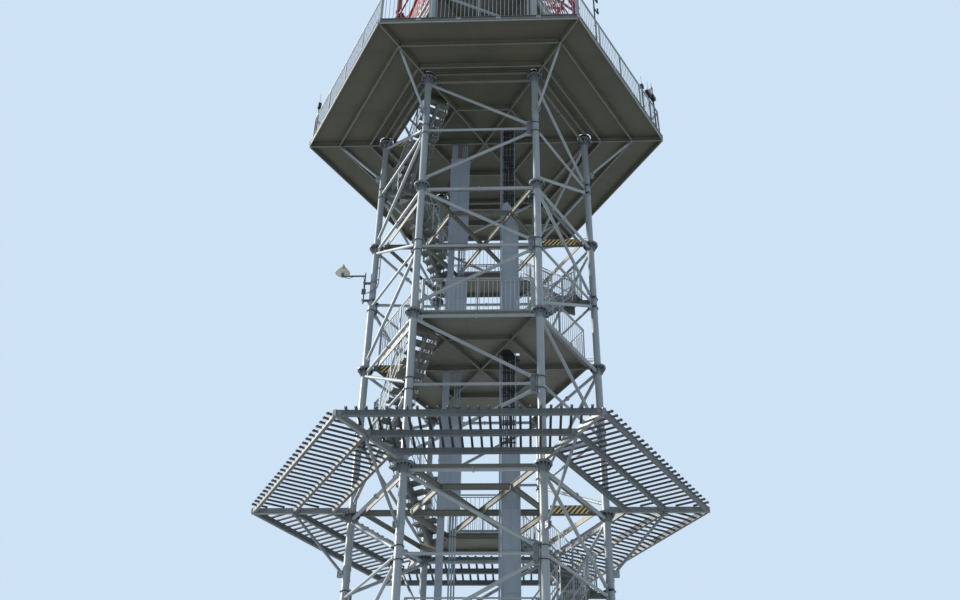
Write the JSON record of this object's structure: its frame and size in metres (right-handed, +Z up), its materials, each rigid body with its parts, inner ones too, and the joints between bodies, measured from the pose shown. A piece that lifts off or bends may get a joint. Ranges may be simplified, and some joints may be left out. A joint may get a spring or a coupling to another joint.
{
  "type": "lookout tower",
  "caption": "Hexagonal steel lattice lookout tower with an inner stair, a slatted sunshade ring and a wide cantilevered lookout deck.",
  "frame": {"origin": "on the tower's axis, at the underside of the base plates", "axes": "+Z up, -Y toward the front face, which lies between the front left and front right legs"},
  "size_m": [13.14, 11.605, 39.23],
  "materials": {
    "leg_steel": "light blue-grey paint on round tube",
    "brace_steel": "light blue-grey paint on round tube",
    "beam_steel": "grey paint on rolled beams",
    "floor_plate": "dark film-faced plywood boards 40 mm thick, seen from below",
    "deck_plate": "dark film-faced plywood boards 40 mm thick, seen from below",
    "railing_steel": "light grey paint on flat bars",
    "stair_steel": "grey paint on treads and spine beams",
    "slat_dark": "dark grey paint on slats and beams",
    "duct_sheet": "blue-grey paint on sheet",
    "cable_black": "black cable sheaths on a ladder",
    "warning_yellow": "yellow and black stripes",
    "instrument_white": "white cone and pole",
    "instrument_dark": "dark grey poles and sensors"
  },
  "bodies": {
    "root": {"leg_front_left": "leg_steel", "leg_front_right": "leg_steel", "leg_right": "leg_steel", "leg_back_right": "leg_steel", "leg_back_left": "leg_steel", "leg_left": "leg_steel", "bracing_front": "brace_steel", "bracing_front_right": "brace_steel", "bracing_back_right": "brace_steel", "bracing_back": "brace_steel", "bracing_back_left": "brace_steel", "bracing_front_left": "brace_steel", "frame_level_1": "beam_steel", "frame_level_2": "beam_steel", "frame_level_3": "beam_steel", "frame_level_4": "beam_steel", "frame_level_5": "beam_steel", "frame_level_7": "beam_steel", "floor_level_2": "floor_plate", "floor_level_4": "floor_plate", "floor_level_7": "floor_plate", "landing_floors": "floor_plate", "platform_railings": "railing_steel", "stair_level_0": "stair_steel", "stair_level_1": "stair_steel", "stair_level_2": "stair_steel", "stair_level_3": "stair_steel", "stair_level_4": "stair_steel", "stair_level_5": "stair_steel", "stair_railings": "railing_steel", "shade_front": "slat_dark", "shade_front_right": "slat_dark", "shade_back_right": "slat_dark", "shade_back": "slat_dark", "shade_back_left": "slat_dark", "shade_front_left": "slat_dark", "shade_arms": "brace_steel", "deck_frame": "beam_steel", "deck_struts": "leg_steel", "deck_floor": "deck_plate", "deck_railing": "railing_steel", "cable_duct": "duct_sheet", "cable_ladder": "cable_black", "cable_column": "duct_sheet", "warning_boards": "warning_yellow", "leg_instrument": "instrument_white", "deck_instruments": "instrument_dark"}
  },
  "joints": []
}
